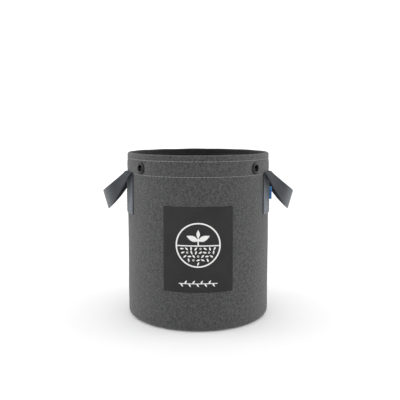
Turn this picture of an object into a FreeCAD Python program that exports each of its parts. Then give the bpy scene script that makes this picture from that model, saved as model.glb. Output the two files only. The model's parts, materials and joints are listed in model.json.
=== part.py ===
import FreeCAD, Part
import math
import os

# Fabric grow bag, about one US gallon, in millimetres.
# Origin: centre of the underside, on the floor. +Z up. The label faces -Y; the two straps are at -X and +X.
# Angles round the bag are degrees from the front (-Y), positive towards +X.

# ---- driving dimensions ----
RADIUS = 80.0  # outside of the felt wall
HEIGHT = 183.0
FELT = 2.2  # thickness of the felt
THREAD = 0.6  # diameter of the sewing thread
FREE_GAP = 0.05  # between faces of two pieces that lie on each other

HEM_DEPTH = 24.5  # the wall's top edge is folded inward this far
CORNER = 5.0  # outside radius where the wall turns in under the bag
BASE_SEAM_RADIUS = 71.0  # the wall's turned-up edge and the base panel's meet here
BASE_SEAM_HEIGHT = 10.0
BASE_BEND = 1.2  # outside radius of the bends beside the base seam

SEAM_ALLOWANCE = 8.0  # how far the side seam's two edges reach inward
SEAM_FLOOR = 11.0  # they end this high, just above the base seam
SEAM_OPENING = 0.2  # between the two edges
SEAM_GROOVE_WIDTH = 2.8
SEAM_GROOVE_DEPTH = 1.1

STITCH_LENGTH = 2.8
STITCH_BEND = 0.6
RIM_ROWS = {"rim_stitch_upper": 6.4, "rim_stitch_lower": 22.2}  # depth below the rim
RIM_STITCH_COUNT = 126
BASE_STITCH_COUNT = 98
BASE_STITCH_HEIGHT = 5.5
SIDE_STITCH_PITCH = 4.2
SIDE_STITCH_INSET = 6.5  # from the outside of the wall

EYELET_ANGLE = 49.0
EYELET_DEPTH = 14.9  # centre below the rim
EYELET_BORE = 3.25  # radius of the hole through the metal
EYELET_BARREL = 3.8
EYELET_FLANGE = 6.5
EYELET_CROWN = 1.2  # how far the flange stands off the felt
EYELET_CURL = 5.2  # radius of the rolled end inside the bag
EYELET_LIP = 0.4  # how far the straight bore runs into the crown and the curl
WASHER_RADIUS = 6.3
WASHER_THICKNESS = 0.8
HOLE_RADIUS = 3.9  # hole cut in the felt

STRAP_WIDTH = 22.0
STRAP_THICKNESS = 1.6
STRAP_ANGLE = 68.5  # middle of each sewn end
STRAP_TOP = 21.2  # below the rim, where the strap leaves the wall
STRAP_BOTTOM = 66.0  # below the rim
STRAP_STITCH_INSET = 2.4
STRAP_STITCH_PITCH = 4.0

LOOP_CLEARANCE = 0.45  # between a free loop and its own sewn ends
LOOP_TIP = (105.1, 0.0, 128.7)  # middle of the strap at the loop's outermost point
LOOP_TIP_LEAN = 14.5  # the strap's width leans this far out from upright at the tip
LOOP_LEAVES_OUT = 12.0  # how the strap heads off from the wall: outward,
LOOP_LEAVES_DOWN = 18.0  # downward
LOOP_TIP_RUN = 18.0  # and how long it stays level near the tip
LOOP_SECTIONS = 9  # cross-sections from the wall to the tip

LABEL_HALF_ANGLE = 26.6
LABEL_TOP = 52.2  # below the rim
LABEL_BOTTOM = 140.9
LABEL_THICKNESS = 0.4

TAG_TOP = 40.0  # below the rim
TAG_HEIGHT = 14.6
TAG_THICKNESS = 0.7  # two layers of folded ribbon
TAG_OUTER = 84.5
TAG_INNER = 72.5

# ---- worked out from them ----
HEM_THICKNESS = 2 * FELT
HEM_INNER = RADIUS - HEM_THICKNESS
WALL_INNER = RADIUS - FELT
WALL_TOP = HEIGHT - HEM_DEPTH
SEAM_INNER = RADIUS - SEAM_ALLOWANCE - FELT
STRAP_HALF_ANGLE = math.degrees(STRAP_WIDTH / 2 / RADIUS)
STRAP_FACE = RADIUS + FREE_GAP + STRAP_THICKNESS  # radius of a sewn end's outer face
EYELET_SEAT = RADIUS + FREE_GAP
WASHER_SEAT = math.sqrt(HEM_INNER**2 - WASHER_RADIUS**2) - FREE_GAP

Z = FreeCAD.Vector(0, 0, 1)
ORIGIN = FreeCAD.Vector(0, 0, 0)
SIDES = {"left": -1, "right": 1}
ENDS = ("front", "back")


# ---- helpers ----
def vec(x, y, z):
    return FreeCAD.Vector(x, y, z)


def around(angle, radius, z):
    """The point at an angle from the front, on a circle of this radius."""
    a = math.radians(angle)
    return vec(radius * math.sin(a), -radius * math.cos(a), z)


def turned(shape, angle):
    """A copy of a shape built at the front (-Y), turned round the bag."""
    copy = shape.copy()
    copy.rotate(ORIGIN, Z, angle)
    return copy


def quarter(centre, radius, start):
    """A quarter circle in the (radius, height) half-plane, anticlockwise from an angle in degrees."""
    points = []
    for step in (0, 45, 90):
        a = math.radians(start + step)
        points.append(vec(centre[0] + radius * math.cos(a), 0, centre[1] + radius * math.sin(a)))
    return Part.Arc(*points).toShape()


def outline(*parts):
    """A closed face from corner points and ready-made edges, joined in order by straight lines."""
    edges = []
    last = first = None
    for part in parts:
        is_edge = isinstance(part, Part.Edge)
        ends = [v.Point for v in part.Vertexes] if is_edge else [vec(part[0], 0, part[1])] * 2
        if is_edge and last is not None and ends[1].distanceToPoint(last) < ends[0].distanceToPoint(last):
            ends.reverse()
        if last is not None and last.distanceToPoint(ends[0]) > 1e-6:
            edges.append(Part.makeLine(last, ends[0]))
        if is_edge:
            edges.append(part)
        first = first or ends[0]
        last = ends[1]
    if last.distanceToPoint(first) > 1e-6:
        edges.append(Part.makeLine(last, first))
    return Part.Face(Part.Wire(edges))


def revolved(face, degrees=360):
    return face.revolve(ORIGIN, Z, degrees)


def box(x0, x1, y0, y1, z0, z1):
    return Part.makeBox(x1 - x0, y1 - y0, z1 - z0, vec(x0, y0, z0))


def curved_plate(inner, thickness, half_angle, z0, z1):
    """A plate bent round the bag, centred on the front."""
    face = outline((inner, z0), (inner + thickness, z0), (inner + thickness, z1), (inner, z1))
    return turned(revolved(face, 2 * half_angle), -90 - half_angle)


def thread_loop(length, depth):
    """One lockstitch as a closed ring of thread: along X on the outside and inside, through the felt along Y.

    The outer run lies on the plane y = 0 and the inner one on y = depth.
    """
    across = length / 2
    near = -THREAD / 2
    far = depth + THREAD / 2
    bend = STITCH_BEND
    corner = bend * (1 - math.sqrt(0.5))
    path = Part.Wire(
        [
            Part.makeLine(vec(-across + bend, near, 0), vec(across - bend, near, 0)),
            Part.Arc(vec(across - bend, near, 0), vec(across - corner, near + corner, 0),
                     vec(across, near + bend, 0)).toShape(),
            Part.makeLine(vec(across, near + bend, 0), vec(across, far - bend, 0)),
            Part.Arc(vec(across, far - bend, 0), vec(across - corner, far - corner, 0),
                     vec(across - bend, far, 0)).toShape(),
            Part.makeLine(vec(across - bend, far, 0), vec(-across + bend, far, 0)),
            Part.Arc(vec(-across + bend, far, 0), vec(-across + corner, far - corner, 0),
                     vec(-across, far - bend, 0)).toShape(),
            Part.makeLine(vec(-across, far - bend, 0), vec(-across, near + bend, 0)),
            Part.Arc(vec(-across, near + bend, 0), vec(-across + corner, near + corner, 0),
                     vec(-across + bend, near, 0)).toShape(),
        ]
    )
    section = Part.Wire(Part.makeCircle(THREAD / 2, vec(0, near, 0), vec(1, 0, 0)))
    return path.makePipeShell([section], True, False)


def placed(shape, angle, radius, z, upright=False):
    """A copy of a stitch set on the bag: its outer run on this radius, lying round the bag or upright."""
    copy = shape.copy()
    if upright:
        copy.rotate(ORIGIN, vec(0, 1, 0), 90)
    copy.translate(vec(0, -radius, z))
    copy.rotate(ORIGIN, Z, angle)
    return copy


# ---- felt ----
def side_seam_groove(z0, z1):
    """A wedge to cut outside the side seam, where the two edges of the sheet turn inward."""
    half = SEAM_GROOVE_WIDTH / 2
    corners = [
        vec(RADIUS + 1, -half, z0),
        vec(RADIUS + 1, half, z0),
        vec(RADIUS - SEAM_GROOVE_DEPTH, 0, z0),
    ]
    return Part.Face(Part.makePolygon(corners + corners[:1])).extrude(vec(0, 0, z1 - z0))


def side_wall():
    """The wall's sheet below the hem: rolled into a tube, bottom edge turned in and then up at the base seam."""
    bend_inside = CORNER - FELT
    seam_outer = BASE_SEAM_RADIUS + FREE_GAP
    seam_inner = seam_outer + FELT
    profile = outline(
        (RADIUS, WALL_TOP),
        quarter((RADIUS - CORNER, CORNER), CORNER, -90),
        quarter((seam_outer + BASE_BEND, BASE_BEND), BASE_BEND, 180),
        (seam_outer, BASE_SEAM_HEIGHT),
        (seam_inner, BASE_SEAM_HEIGHT),
        (seam_inner, FELT),
        quarter((RADIUS - CORNER, CORNER), bend_inside, -90),
        (WALL_INNER, WALL_TOP),
    )
    edge_reach = FELT + SEAM_OPENING / 2
    edges = box(SEAM_INNER, WALL_INNER + FELT / 2, -edge_reach, edge_reach, SEAM_FLOOR, WALL_TOP)
    slit = box(SEAM_INNER - 1, RADIUS + 1, -SEAM_OPENING / 2, SEAM_OPENING / 2, -1, WALL_TOP + 1)
    pocket_half = TAG_THICKNESS / 2 + FREE_GAP
    tag_base = HEIGHT - TAG_TOP - TAG_HEIGHT
    pocket = box(TAG_INNER - FREE_GAP, RADIUS + 1, -pocket_half, pocket_half,
                 tag_base - FREE_GAP, tag_base + TAG_HEIGHT + FREE_GAP)
    groove = side_seam_groove(-1, WALL_TOP + 1)
    return revolved(profile).fuse(edges).cut(slit).cut(pocket).cut(groove)


def top_hem():
    """The wall's top edge, folded inward: two layers of felt with a round fold and a hole for each eyelet."""
    fold = FELT
    profile = outline(
        (RADIUS, WALL_TOP),
        quarter((RADIUS - fold, HEIGHT - fold), fold, 0),
        quarter((RADIUS - fold, HEIGHT - fold), fold, 90),
        (HEM_INNER, WALL_TOP),
    )
    hem = revolved(profile).cut(side_seam_groove(WALL_TOP - 1, HEIGHT + 1))
    for angle in eyelet_places().values():
        start = around(angle, HEM_INNER - 5, HEIGHT - EYELET_DEPTH)
        outward = around(angle, 1, 0)
        hem = hem.cut(Part.makeCylinder(HOLE_RADIUS, 15, start, outward))
    return hem


def base_panel():
    """A disc of felt with its edge turned up, sewn to the wall's turned-up edge."""
    bend = BASE_BEND + FELT
    edge_inner = BASE_SEAM_RADIUS - FELT
    profile = outline(
        (0, 0),
        quarter((BASE_SEAM_RADIUS - bend, bend), bend, -90),
        (BASE_SEAM_RADIUS, BASE_SEAM_HEIGHT),
        (edge_inner, BASE_SEAM_HEIGHT),
        quarter((edge_inner - BASE_BEND, FELT + BASE_BEND), BASE_BEND, -90),
        (0, FELT),
    )
    return revolved(profile)


# ---- thread ----
def under_a_strap(angle):
    """True where a sewn strap end covers the lower rim row, so that the strap's own stitches hold there."""
    from_side = abs(abs((angle + 180) % 360 - 180) - 90)
    return abs(90 - from_side - STRAP_ANGLE) < STRAP_HALF_ANGLE + 1


def rim_row(name):
    depth = RIM_ROWS[name]
    stitch = thread_loop(STITCH_LENGTH, HEM_THICKNESS)
    step = 360 / RIM_STITCH_COUNT
    angles = [(i + 0.5) * step for i in range(RIM_STITCH_COUNT)]
    if depth > STRAP_TOP:
        angles = [a for a in angles if not under_a_strap(a)]
    return Part.makeCompound([placed(stitch, a, RADIUS, HEIGHT - depth) for a in angles])


def side_seam_stitch():
    """Stitches through the side seam's two edges, inside the bag."""
    edge_reach = FELT + SEAM_OPENING / 2
    stitch = thread_loop(STITCH_LENGTH, 2 * edge_reach)
    stitch.rotate(ORIGIN, vec(0, 1, 0), 90)
    count = int((WALL_TOP - SEAM_FLOOR - STITCH_LENGTH) / SIDE_STITCH_PITCH)
    first = SEAM_FLOOR + STITCH_LENGTH
    rings = []
    for i in range(count):
        ring = stitch.copy()
        ring.translate(vec(RADIUS - SIDE_STITCH_INSET, -edge_reach, first + i * SIDE_STITCH_PITCH))
        rings.append(ring)
    return Part.makeCompound(rings)


def base_seam_stitch():
    """Stitches through the two turned-up edges round the base, inside the bag."""
    stitch = thread_loop(STITCH_LENGTH, 2 * FELT + FREE_GAP)
    outer = BASE_SEAM_RADIUS + FELT + FREE_GAP
    step = 360 / BASE_STITCH_COUNT
    rings = [placed(stitch, (i + 0.5) * step, outer, BASE_STITCH_HEIGHT) for i in range(BASE_STITCH_COUNT)]
    return Part.makeCompound(rings)


def spaced(start, end, pitch):
    """Evenly spaced places from start to end, about a pitch apart."""
    count = max(round((end - start) / pitch), 1)
    return [start + (end - start) * i / count for i in range(count + 1)]


def strap_stitches():
    """A box of stitches round one sewn strap end, centred on the front."""
    low = HEIGHT - STRAP_BOTTOM + STRAP_STITCH_INSET
    high = HEIGHT - STRAP_TOP - STRAP_STITCH_INSET
    side = STRAP_HALF_ANGLE * (1 - 2 * STRAP_STITCH_INSET / STRAP_WIDTH)
    through_wall = STRAP_FACE - WALL_INNER
    through_hem = STRAP_FACE - HEM_INNER
    rings = []
    for z in spaced(low + STITCH_LENGTH / 2, WALL_TOP - STITCH_LENGTH, STRAP_STITCH_PITCH):
        for angle in (-side, side):
            rings.append(placed(thread_loop(STITCH_LENGTH, through_wall), angle, STRAP_FACE, z, upright=True))
    end = math.degrees(STITCH_LENGTH / 2 / RADIUS)
    for z, depth in ((low, through_wall), (high, through_hem)):
        for angle in spaced(-side + 2 * end, side - 2 * end, math.degrees(STRAP_STITCH_PITCH / RADIUS)):
            rings.append(placed(thread_loop(STITCH_LENGTH, depth), angle, STRAP_FACE, z))
    return Part.makeCompound(rings)


# ---- eyelets ----
def eyelet_places():
    """Angle of each eyelet, by name."""
    places = {}
    for end in ENDS:
        for side, sign in SIDES.items():
            places[f"{end}_{side}"] = sign * (EYELET_ANGLE if end == "front" else 180 - EYELET_ANGLE)
    return places


def on_the_hem(face, angle):
    """Turn a (radius, height) profile into a ring whose axis points out of the bag, height 0 on the hem's face."""
    ring = revolved(face)
    ring.rotate(ORIGIN, vec(1, 0, 0), 90)
    ring.translate(vec(0, -EYELET_SEAT, HEIGHT - EYELET_DEPTH))
    return turned(ring, angle)


def eyelet(angle):
    """A rolled metal eyelet: domed flange outside, barrel through the hem, curled end over the washer."""
    washer_face = WASHER_SEAT - WASHER_THICKNESS - EYELET_SEAT
    curl_end = washer_face - FREE_GAP
    curl_radius = (EYELET_CURL - EYELET_BORE) / 2
    curl_middle = EYELET_BORE + curl_radius
    crown_middle = EYELET_BORE + EYELET_CROWN - EYELET_LIP
    face = outline(
        (EYELET_BORE, curl_end - EYELET_LIP),
        (EYELET_BORE, EYELET_LIP),
        quarter((crown_middle, EYELET_LIP), EYELET_CROWN - EYELET_LIP, 90),
        Part.Arc(
            vec(crown_middle, 0, EYELET_CROWN),
            vec(crown_middle + (EYELET_FLANGE - crown_middle) * 0.6, 0, EYELET_CROWN * 0.75),
            vec(EYELET_FLANGE, 0, EYELET_LIP / 2),
        ).toShape(),
        (EYELET_FLANGE, 0),
        (EYELET_BARREL, 0),
        (EYELET_BARREL, curl_end),
        (EYELET_CURL, curl_end),
        (EYELET_CURL, curl_end - EYELET_LIP),
        quarter((curl_middle, curl_end - EYELET_LIP), curl_radius, -90),
        quarter((curl_middle, curl_end - EYELET_LIP), curl_radius, 180),
    )
    return on_the_hem(face, angle)


def washer(angle):
    """The flat ring inside the bag that the eyelet's end is curled over."""
    seat = WASHER_SEAT - EYELET_SEAT
    inner = EYELET_BARREL + FREE_GAP
    bevel = 0.2
    face = outline(
        (inner, seat),
        (WASHER_RADIUS, seat),
        (WASHER_RADIUS, seat - WASHER_THICKNESS + bevel),
        (WASHER_RADIUS - bevel, seat - WASHER_THICKNESS),
        (inner, seat - WASHER_THICKNESS),
    )
    return on_the_hem(face, angle)


# ---- straps ----
def strap_leg():
    """A sewn strap end, bent round the wall and centred on the front."""
    return curved_plate(RADIUS + FREE_GAP, STRAP_THICKNESS, STRAP_HALF_ANGLE,
                        HEIGHT - STRAP_BOTTOM, HEIGHT - STRAP_TOP)


def loop_frame(t):
    """Middle, direction of travel and direction across the strap, on the right loop's front half.

    t runs from 0 at the wall to 1 at the tip. The strap leaves the wall with its width lying round
    the bag, and turns evenly until the width stands almost upright at the tip.
    """
    start = around(STRAP_ANGLE, STRAP_FACE + LOOP_CLEARANCE + STRAP_THICKNESS / 2, HEIGHT - STRAP_TOP)
    tip = vec(*LOOP_TIP)
    pull_out = start + around(STRAP_ANGLE, LOOP_LEAVES_OUT, -LOOP_LEAVES_DOWN)
    pull_in = tip - vec(0, LOOP_TIP_RUN, 0)
    u = 1 - t
    middle = start * u**3 + pull_out * (3 * t * u * u) + pull_in * (3 * t * t * u) + tip * t**3
    ahead = (pull_out - start) * (u * u) + (pull_in - pull_out) * (2 * t * u) + (tip - pull_in) * (t * t)
    at_wall = around(STRAP_ANGLE - 90, 1, 0)
    lean = math.radians(LOOP_TIP_LEAN)
    at_tip = vec(-math.sin(lean), 0, -math.cos(lean))
    turn = math.acos(at_wall.dot(at_tip))
    across = at_wall * math.sin(u * turn) + at_tip * math.sin(t * turn)
    return middle, ahead.normalize(), across.normalize()


def strap_section(t, mirrored):
    """The strap's rectangular cross-section at t, as a closed wire."""
    middle, ahead, across = loop_frame(t)
    face = ahead.cross(across).normalize()
    corners = []
    for a, b in ((-1, -1), (1, -1), (1, 1), (-1, 1)):
        corner = middle + across * (a * STRAP_WIDTH / 2) + face * (b * STRAP_THICKNESS / 2)
        corners.append(vec(corner.x, -corner.y, corner.z) if mirrored else corner)
    return Part.makePolygon(corners + corners[:1])


def strap_loop():
    """The free loop of the right strap, from one sewn end round the tip to the other."""
    steps = [i / (LOOP_SECTIONS - 1) for i in range(LOOP_SECTIONS)]
    sections = [strap_section(t, False) for t in steps]
    sections += [strap_section(t, True) for t in reversed(steps[:-1])]
    return Part.makeLoft(sections, True, False)


# ---- label and tag ----
def front_label():
    return curved_plate(RADIUS + FREE_GAP, LABEL_THICKNESS, LABEL_HALF_ANGLE,
                        HEIGHT - LABEL_BOTTOM, HEIGHT - LABEL_TOP)


def side_tag():
    """A ribbon folded in two, its ends caught in the side seam and its fold standing out."""
    half = TAG_THICKNESS / 2
    base = HEIGHT - TAG_TOP - TAG_HEIGHT
    flat = box(TAG_INNER, TAG_OUTER - half, -half, half, base, base + TAG_HEIGHT)
    fold = Part.makeCylinder(half, TAG_HEIGHT, vec(TAG_OUTER - half, 0, base))
    return flat.fuse(fold).removeSplitter()


# ---- all the pieces ----
def all_parts():
    parts = {
        "side_wall": side_wall(),
        "top_hem": top_hem(),
        "base_panel": base_panel(),
        "side_seam_stitch": side_seam_stitch(),
        "base_seam_stitch": base_seam_stitch(),
        "front_label": front_label(),
        "side_tag": side_tag(),
    }
    for name in RIM_ROWS:
        parts[name] = rim_row(name)
    for place, angle in eyelet_places().items():
        parts[f"eyelet_{place}"] = eyelet(angle)
        parts[f"washer_{place}"] = washer(angle)
    for side, sign in SIDES.items():
        for end in ENDS:
            angle = sign * (STRAP_ANGLE if end == "front" else 180 - STRAP_ANGLE)
            parts[f"{side}_handle_{end}_leg"] = turned(strap_leg(), angle)
            parts[f"{side}_handle_{end}_stitch"] = turned(strap_stitches(), angle)
        parts[f"{side}_handle_loop"] = turned(strap_loop(), 0 if sign > 0 else 180)
    return parts


os.makedirs("parts", exist_ok=True)
for node, shape in all_parts().items():
    shape.exportStep(f"parts/{node}.step")
    print(node, len(shape.Solids), "solids, valid:", shape.isValid(), "mm3:", round(shape.Volume, 1))
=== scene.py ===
import json
import math

import bmesh
import bpy
import numpy as np
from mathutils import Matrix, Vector


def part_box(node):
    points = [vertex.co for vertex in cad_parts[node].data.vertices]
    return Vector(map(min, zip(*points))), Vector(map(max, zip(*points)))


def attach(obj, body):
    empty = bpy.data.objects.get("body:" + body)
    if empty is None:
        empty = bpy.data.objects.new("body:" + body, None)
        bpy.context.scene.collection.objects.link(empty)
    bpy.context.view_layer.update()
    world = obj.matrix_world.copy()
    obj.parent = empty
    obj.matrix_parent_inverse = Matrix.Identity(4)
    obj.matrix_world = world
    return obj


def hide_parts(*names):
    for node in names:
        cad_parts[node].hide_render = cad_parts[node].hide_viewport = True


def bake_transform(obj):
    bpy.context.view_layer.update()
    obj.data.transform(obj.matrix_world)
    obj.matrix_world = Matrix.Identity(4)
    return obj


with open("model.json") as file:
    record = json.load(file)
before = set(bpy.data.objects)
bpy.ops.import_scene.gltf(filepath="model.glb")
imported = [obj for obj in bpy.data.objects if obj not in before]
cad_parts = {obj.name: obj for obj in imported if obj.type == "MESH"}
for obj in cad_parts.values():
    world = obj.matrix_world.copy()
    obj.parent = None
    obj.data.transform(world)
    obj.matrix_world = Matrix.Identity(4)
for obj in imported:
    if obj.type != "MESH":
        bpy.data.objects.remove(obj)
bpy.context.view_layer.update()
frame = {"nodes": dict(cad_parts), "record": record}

# Fabric grow bag: needle-punched felt with a turned-in hem, webbing handles, black eyelets,
# a dark front label and a blue side tag. Metres throughout.
# Angles round the bag are degrees from the front (-Y), positive towards +X.

MM = 0.001

# ---- sizes from the frame ----
HEM_LOW, HEM_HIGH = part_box("top_hem")
RADIUS = HEM_HIGH[1]
HEIGHT = HEM_HIGH[2]
HEM_EDGE = HEM_LOW[2]
LABEL_LOW, LABEL_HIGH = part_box("front_label")
TAG_LOW, TAG_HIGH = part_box("side_tag")
LEG_LOW, LEG_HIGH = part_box("right_handle_front_leg")
_, BASE_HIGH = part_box("base_panel")
EYELETS = [m for m in frame["record"]["mounts"] if m["kind"] == "bore"]

# ---- sizes of the cloth and thread ----
FELT = 2.2 * MM
HEM_INNER = RADIUS - 2 * FELT
WALL_INNER = RADIUS - FELT
CORNER = 5 * MM
BASE_SEAM = BASE_HIGH[0]
THREAD = 0.6 * MM
ROW_PITCHES = 126
BASE_STITCHES = 98
BASE_STITCH_HEIGHT = 5.5 * MM
SEAM_PITCH = 4.2 * MM
SEAM_ROW_IN = 6.5 * MM
STRAP_PITCH = 4 * MM
STITCH = 2.9 * MM
STITCH_SINK = 0.55 * MM
STITCH_GROOVE = 0.4 * MM
EYELET_HOLE = 4.1 * MM

STRAP_WIDTH = 22 * MM
STRAP_THICKNESS = 1.5 * MM
STRAP_ANGLE = 68.5
YARN = STRAP_WIDTH / 16
PICK = 1.75 * MM
LEG_MIDDLE = RADIUS + 0.9 * MM
LOOP_TIP = Vector((105.1, 0, 128.7)) * MM
LOOP_TIP_LEAN = math.radians(14.5)
LOOP_LEAVES_OUT = 12 * MM
LOOP_LEAVES_DOWN = 18 * MM
LOOP_TIP_RUN = 18 * MM
LOOP_START = 82.9 * MM
LABEL_THICKNESS = 0.4 * MM
LABEL_GAP = 0.15 * MM

SIDES = {"left": -1, "right": 1}
random = np.random.default_rng(11)


# ---- mesh helpers ----
def around(angle, radius, z):
    """Points at angles from the front, on circles of these radii."""
    a = np.radians(angle)
    return np.stack(np.broadcast_arrays(radius * np.sin(a), -radius * np.cos(a), z), -1)


def arc(centre, radius, start, end, count):
    a = np.radians(np.linspace(start, end, count))
    return np.stack([centre[0] + radius * np.cos(a), centre[1] + radius * np.sin(a)], 1)


def run(start, end, step):
    """Points from start to end, about a step apart, without the last one."""
    count = max(round(math.dist(start, end) / step), 1)
    return np.linspace(start, end, count + 1)[:-1]


def smooth_step(x):
    x = np.clip(x, 0, 1)
    return x * x * (3 - 2 * x)


def make_object(name, points, faces, flat_from=None):
    """A smooth mesh object. Faces from number flat_from on are flat, as cut ends are."""
    mesh = bpy.data.meshes.new(name)
    mesh.from_pydata([tuple(p) for p in points], [], faces)
    smooth = np.ones(len(mesh.polygons), dtype=bool)
    if flat_from is not None:
        smooth[flat_from:] = False
    mesh.polygons.foreach_set("use_smooth", smooth)
    obj = bpy.data.objects.new(name, mesh)
    bpy.context.collection.objects.link(obj)
    return obj


def skin(name, rings, wrap=False, along=None, across=None):
    """A mesh over closed rings of points, [ring][place][xyz]. wrap joins the last ring to the first.

    along and across give each ring's and each place's distance in metres, for the cloth's grain; each
    has one entry more than it has rings or places where it wraps.
    """
    rings = np.asarray(rings)
    count, size = rings.shape[:2]
    i, j = np.meshgrid(np.arange(count if wrap else count - 1), np.arange(size), indexing="ij")
    i1, j1 = (i + 1) % count, (j + 1) % size
    corners = [(i, j), (i1, j), (i1, j1), (i, j1)]
    faces = np.stack([a * size + b for a, b in corners], -1).reshape(-1, 4).tolist()
    quads = len(faces)
    if not wrap:
        faces.append(list(range(size))[::-1])
        faces.append([(count - 1) * size + k for k in range(size)])
    obj = make_object(name, rings.reshape(-1, 3), faces, quads)
    if along is not None:
        grid = [(i, j), (i + 1, j), (i + 1, j + 1), (i, j + 1)]
        uv = np.stack([np.stack([along[a], across[b]], -1) for a, b in grid], 2).reshape(-1, 2)
        layer = obj.data.uv_layers.new(name="grain")
        values = np.zeros((len(obj.data.loops), 2))
        values[: len(uv)] = uv
        layer.data.foreach_set("uv", values.ravel())
    return obj


def tidy_mesh(obj, weld=0.0):
    """Welds points this close, turns every face outward and creases the edges round flat ends."""
    bm = bmesh.new()
    bm.from_mesh(obj.data)
    if weld:
        bmesh.ops.remove_doubles(bm, verts=bm.verts, dist=weld)
    bmesh.ops.recalc_face_normals(bm, faces=bm.faces)
    for face in bm.faces:
        if not face.smooth:
            for edge in face.edges:
                edge.smooth = False
    bm.to_mesh(obj.data)
    bm.free()


def joined(name, objects):
    """Several mesh objects as one."""
    bpy.ops.object.select_all(action="DESELECT")
    for obj in objects:
        obj.select_set(True)
    bpy.context.view_layer.objects.active = objects[0]
    bpy.ops.object.join()
    objects[0].name = objects[0].data.name = name
    return objects[0]


def lengths(points):
    """Distance along a line of points, from 0."""
    steps = np.linalg.norm(np.diff(points, axis=0), axis=1)
    return np.concatenate([[0], np.cumsum(steps)])


# ---- the felt's surface ----
def wave_terms(count, slowest, fastest, climb):
    """Random waves: times round the bag, climb with height, start and strength of each."""
    return [(random.integers(slowest, fastest), random.uniform(-climb, climb),
             random.uniform(0, 2 * np.pi), random.uniform(0.3, 1)) for _ in range(count)]


RIPPLES = wave_terms(22, 2, 15, 90)
LUMPS = wave_terms(30, 40, 130, 900)
ROW_HEIGHTS = [sum(z[2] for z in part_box(f"rim_stitch_{row}")) / 2 for row in ("upper", "lower")]


def waves(terms, angle, z, size):
    total = sum(t[3] * np.cos(t[0] * np.radians(angle) + t[1] * z + t[2]) for t in terms)
    return size * total / math.sqrt(len(terms))


def eyelet_nearness(angle, z, reach):
    """1 at an eyelet's centre, falling to 0 away from it."""
    near = 0
    for mount in EYELETS:
        x, y, height = mount["pos_m"]
        at = math.degrees(math.atan2(x, -y))
        apart = (angle - at + 180) % 360 - 180
        near = near + np.exp(-(np.radians(apart) * RADIUS / reach) ** 2 - ((z - height) / reach) ** 2)
    return near


def ripple(angle, z):
    """Slow waves in the whole sheet of felt, shared by both faces and whatever is sewn on it."""
    calm = 1 - np.clip(eyelet_nearness(angle, z, 12 * MM), 0, 1)
    rise = smooth_step(z / (25 * MM))
    return waves(RIPPLES, angle, z, 0.2 * MM) * calm * rise


def seam_groove(angle):
    """The line at the side seam where the two edges turn in, with a soft shoulder on each side."""
    off = np.abs((angle - 90 + 180) % 360 - 180)
    off = np.radians(off) * RADIUS
    shoulder = 0.25 * MM * np.exp(-(((off - 2.2 * MM) / (1.3 * MM)) ** 2))
    return shoulder - 1.2 * MM * np.exp(-((off / (0.75 * MM)) ** 2))


def stitch_dents(angle, z):
    """The furrow along each rim row, deepest where the thread goes through."""
    total = 0
    phase = np.cos(np.radians(angle) * ROW_PITCHES)
    for height in ROW_HEIGHTS:
        total = total + np.exp(-(((z - height) / (1.05 * MM)) ** 2)) * (0.75 + 0.25 * phase)
        total = total + 0.25 * np.exp(-(((z - height) / (3.4 * MM)) ** 2))
    return -STITCH_GROOVE * total


def hem_puff(z):
    """The doubled felt swells a little between its two rows of stitches."""
    low, high = ROW_HEIGHTS[1], ROW_HEIGHTS[0]
    between = np.clip((z - low) / (high - low), 0, 1)
    return 0.28 * MM * np.sin(np.pi * between)


def outside_relief(angle, z):
    """How far the bag's outer face stands off its true radius."""
    total = ripple(angle, z) + seam_groove(angle) + stitch_dents(angle, z) + hem_puff(z)
    total = total + waves(LUMPS, angle, z, 0.07 * MM)
    return total - 0.35 * MM * eyelet_nearness(angle, z, 8 * MM)


def surface(angle, z, above=0.0):
    """A point on something thin that lies on the bag, this far above the felt."""
    return around(angle, RADIUS + ripple(angle, z) + above, z)


# ---- felt pieces ----
def wall_profile():
    """The wall's closed section, (radius, height): up the outside, over the fold, down the inside."""
    bend = RADIUS - CORNER
    seam_out = BASE_SEAM + FELT
    rows = []
    z = CORNER
    while z < HEIGHT - FELT - 0.6 * MM:
        rows.append((RADIUS, z))
        nearest = min(abs(z - height) for height in ROW_HEIGHTS)
        z += (0.6 if nearest < 2.6 * MM else 2.4) * MM
    parts = [
        run((BASE_SEAM + 1.2 * MM, 0), (bend, 0), 1.5 * MM),
        arc((bend, CORNER), CORNER, -90, 0, 8)[:-1],
        np.array(rows),
        arc((RADIUS - FELT, HEIGHT - FELT), FELT, 0, 180, 10),
        run((HEM_INNER, HEIGHT - FELT - 1 * MM), (HEM_INNER, HEM_EDGE + 0.8 * MM), 1.9 * MM),
        arc((HEM_INNER + 0.8 * MM, HEM_EDGE + 0.8 * MM), 0.8 * MM, 180, 270, 4),
        run((WALL_INNER - 0.4 * MM, HEM_EDGE), (WALL_INNER, HEM_EDGE - 0.4 * MM), 1 * MM),
        run((WALL_INNER, HEM_EDGE - 0.4 * MM), (WALL_INNER, CORNER), 7 * MM),
        arc((bend, CORNER), CORNER - FELT, 0, -90, 5),
        run((seam_out + 0.3 * MM, FELT), (seam_out, FELT + 0.3 * MM), 1 * MM),
        run((seam_out, FELT + 0.3 * MM), (seam_out, BASE_HIGH[2] - 0.8 * MM), 2.5 * MM),
        arc((seam_out - FELT / 2, BASE_HIGH[2] - FELT / 2), FELT / 2, 0, 180, 6),
        run((BASE_SEAM, BASE_HIGH[2] - FELT / 2), (BASE_SEAM, 1.2 * MM), 3 * MM),
        arc((BASE_SEAM + 1.2 * MM, 1.2 * MM), 1.2 * MM, 180, 270, 4)[:-1],
    ]
    return np.concatenate(parts)


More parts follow.
